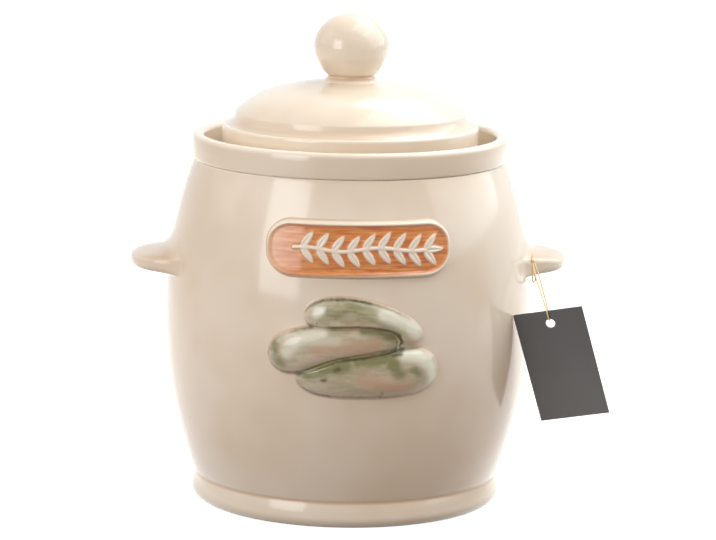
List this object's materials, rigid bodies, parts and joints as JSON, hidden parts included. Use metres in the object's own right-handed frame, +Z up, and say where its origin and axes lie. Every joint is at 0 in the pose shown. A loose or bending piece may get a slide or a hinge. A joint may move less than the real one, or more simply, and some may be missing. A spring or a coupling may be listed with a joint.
{
  "type": "water seal pickle jar",
  "caption": "Barrel-shaped glazed pickling crock with a water channel round its mouth, domed lid with ball knob, ear handles, a raised label, cucumber relief and weight stones.",
  "frame": {"origin": "centre of the flat foot ring's underside, on the jar's own axis", "axes": "+Z up along the jar's axis; -Y towards the front, with the label and the relief; +X through the right ear, the one that carries the swing tag"},
  "size_m": [0.2701, 0.2154, 0.2783],
  "materials": {
    "cream_glaze": "glossy cream glaze, faintly uneven",
    "orange_glaze": "orange underglaze brushed on in streaks, glossy",
    "green_glaze": "green wash over cream, darker in the hollows, glossy",
    "stone_glaze": "plain pale glaze",
    "tag_paper": "matt dark grey printed card",
    "gold_cord": "thin metallised thread"
  },
  "bodies": {
    "crock": {"crock_barrel": "cream_glaze", "mouth_neck": "cream_glaze", "water_collar": "cream_glaze", "ear_handle_left": "cream_glaze", "ear_handle_right": "cream_glaze", "label_frame": "cream_glaze", "label_field": "orange_glaze", "cucumber_upper": "green_glaze", "cucumber_middle": "green_glaze", "cucumber_lower": "green_glaze", "ear_cord": "gold_cord", "tag_knot": "gold_cord"},
    "lid": {"lid_shell": "cream_glaze", "lid_knob": "cream_glaze"},
    "left_stone": {"weight_stone_left": "stone_glaze"},
    "right_stone": {"weight_stone_right": "stone_glaze"},
    "tag": {"tag_card": "tag_paper", "tag_cord": "gold_cord"}
  },
  "joints": [
    {"name": "lid_lift", "type": "slide", "parent": "crock", "child": "lid", "axis": [0, 0, 1], "range_m": [0, 0.12]},
    {"name": "left_stone_lift", "type": "slide", "parent": "crock", "child": "left_stone", "axis": [0, 0, 1], "range_m": [0, 0.14]},
    {"name": "right_stone_lift", "type": "slide", "parent": "crock", "child": "right_stone", "axis": [0, 0, 1], "range_m": [0, 0.14]},
    {"name": "tag_swing", "type": "hinge", "parent": "crock", "child": "tag", "pos_m": [0.1015, -0.0412, 0.143], "axis": [0, -1, 0], "range_deg": [0, 50]}
  ]
}
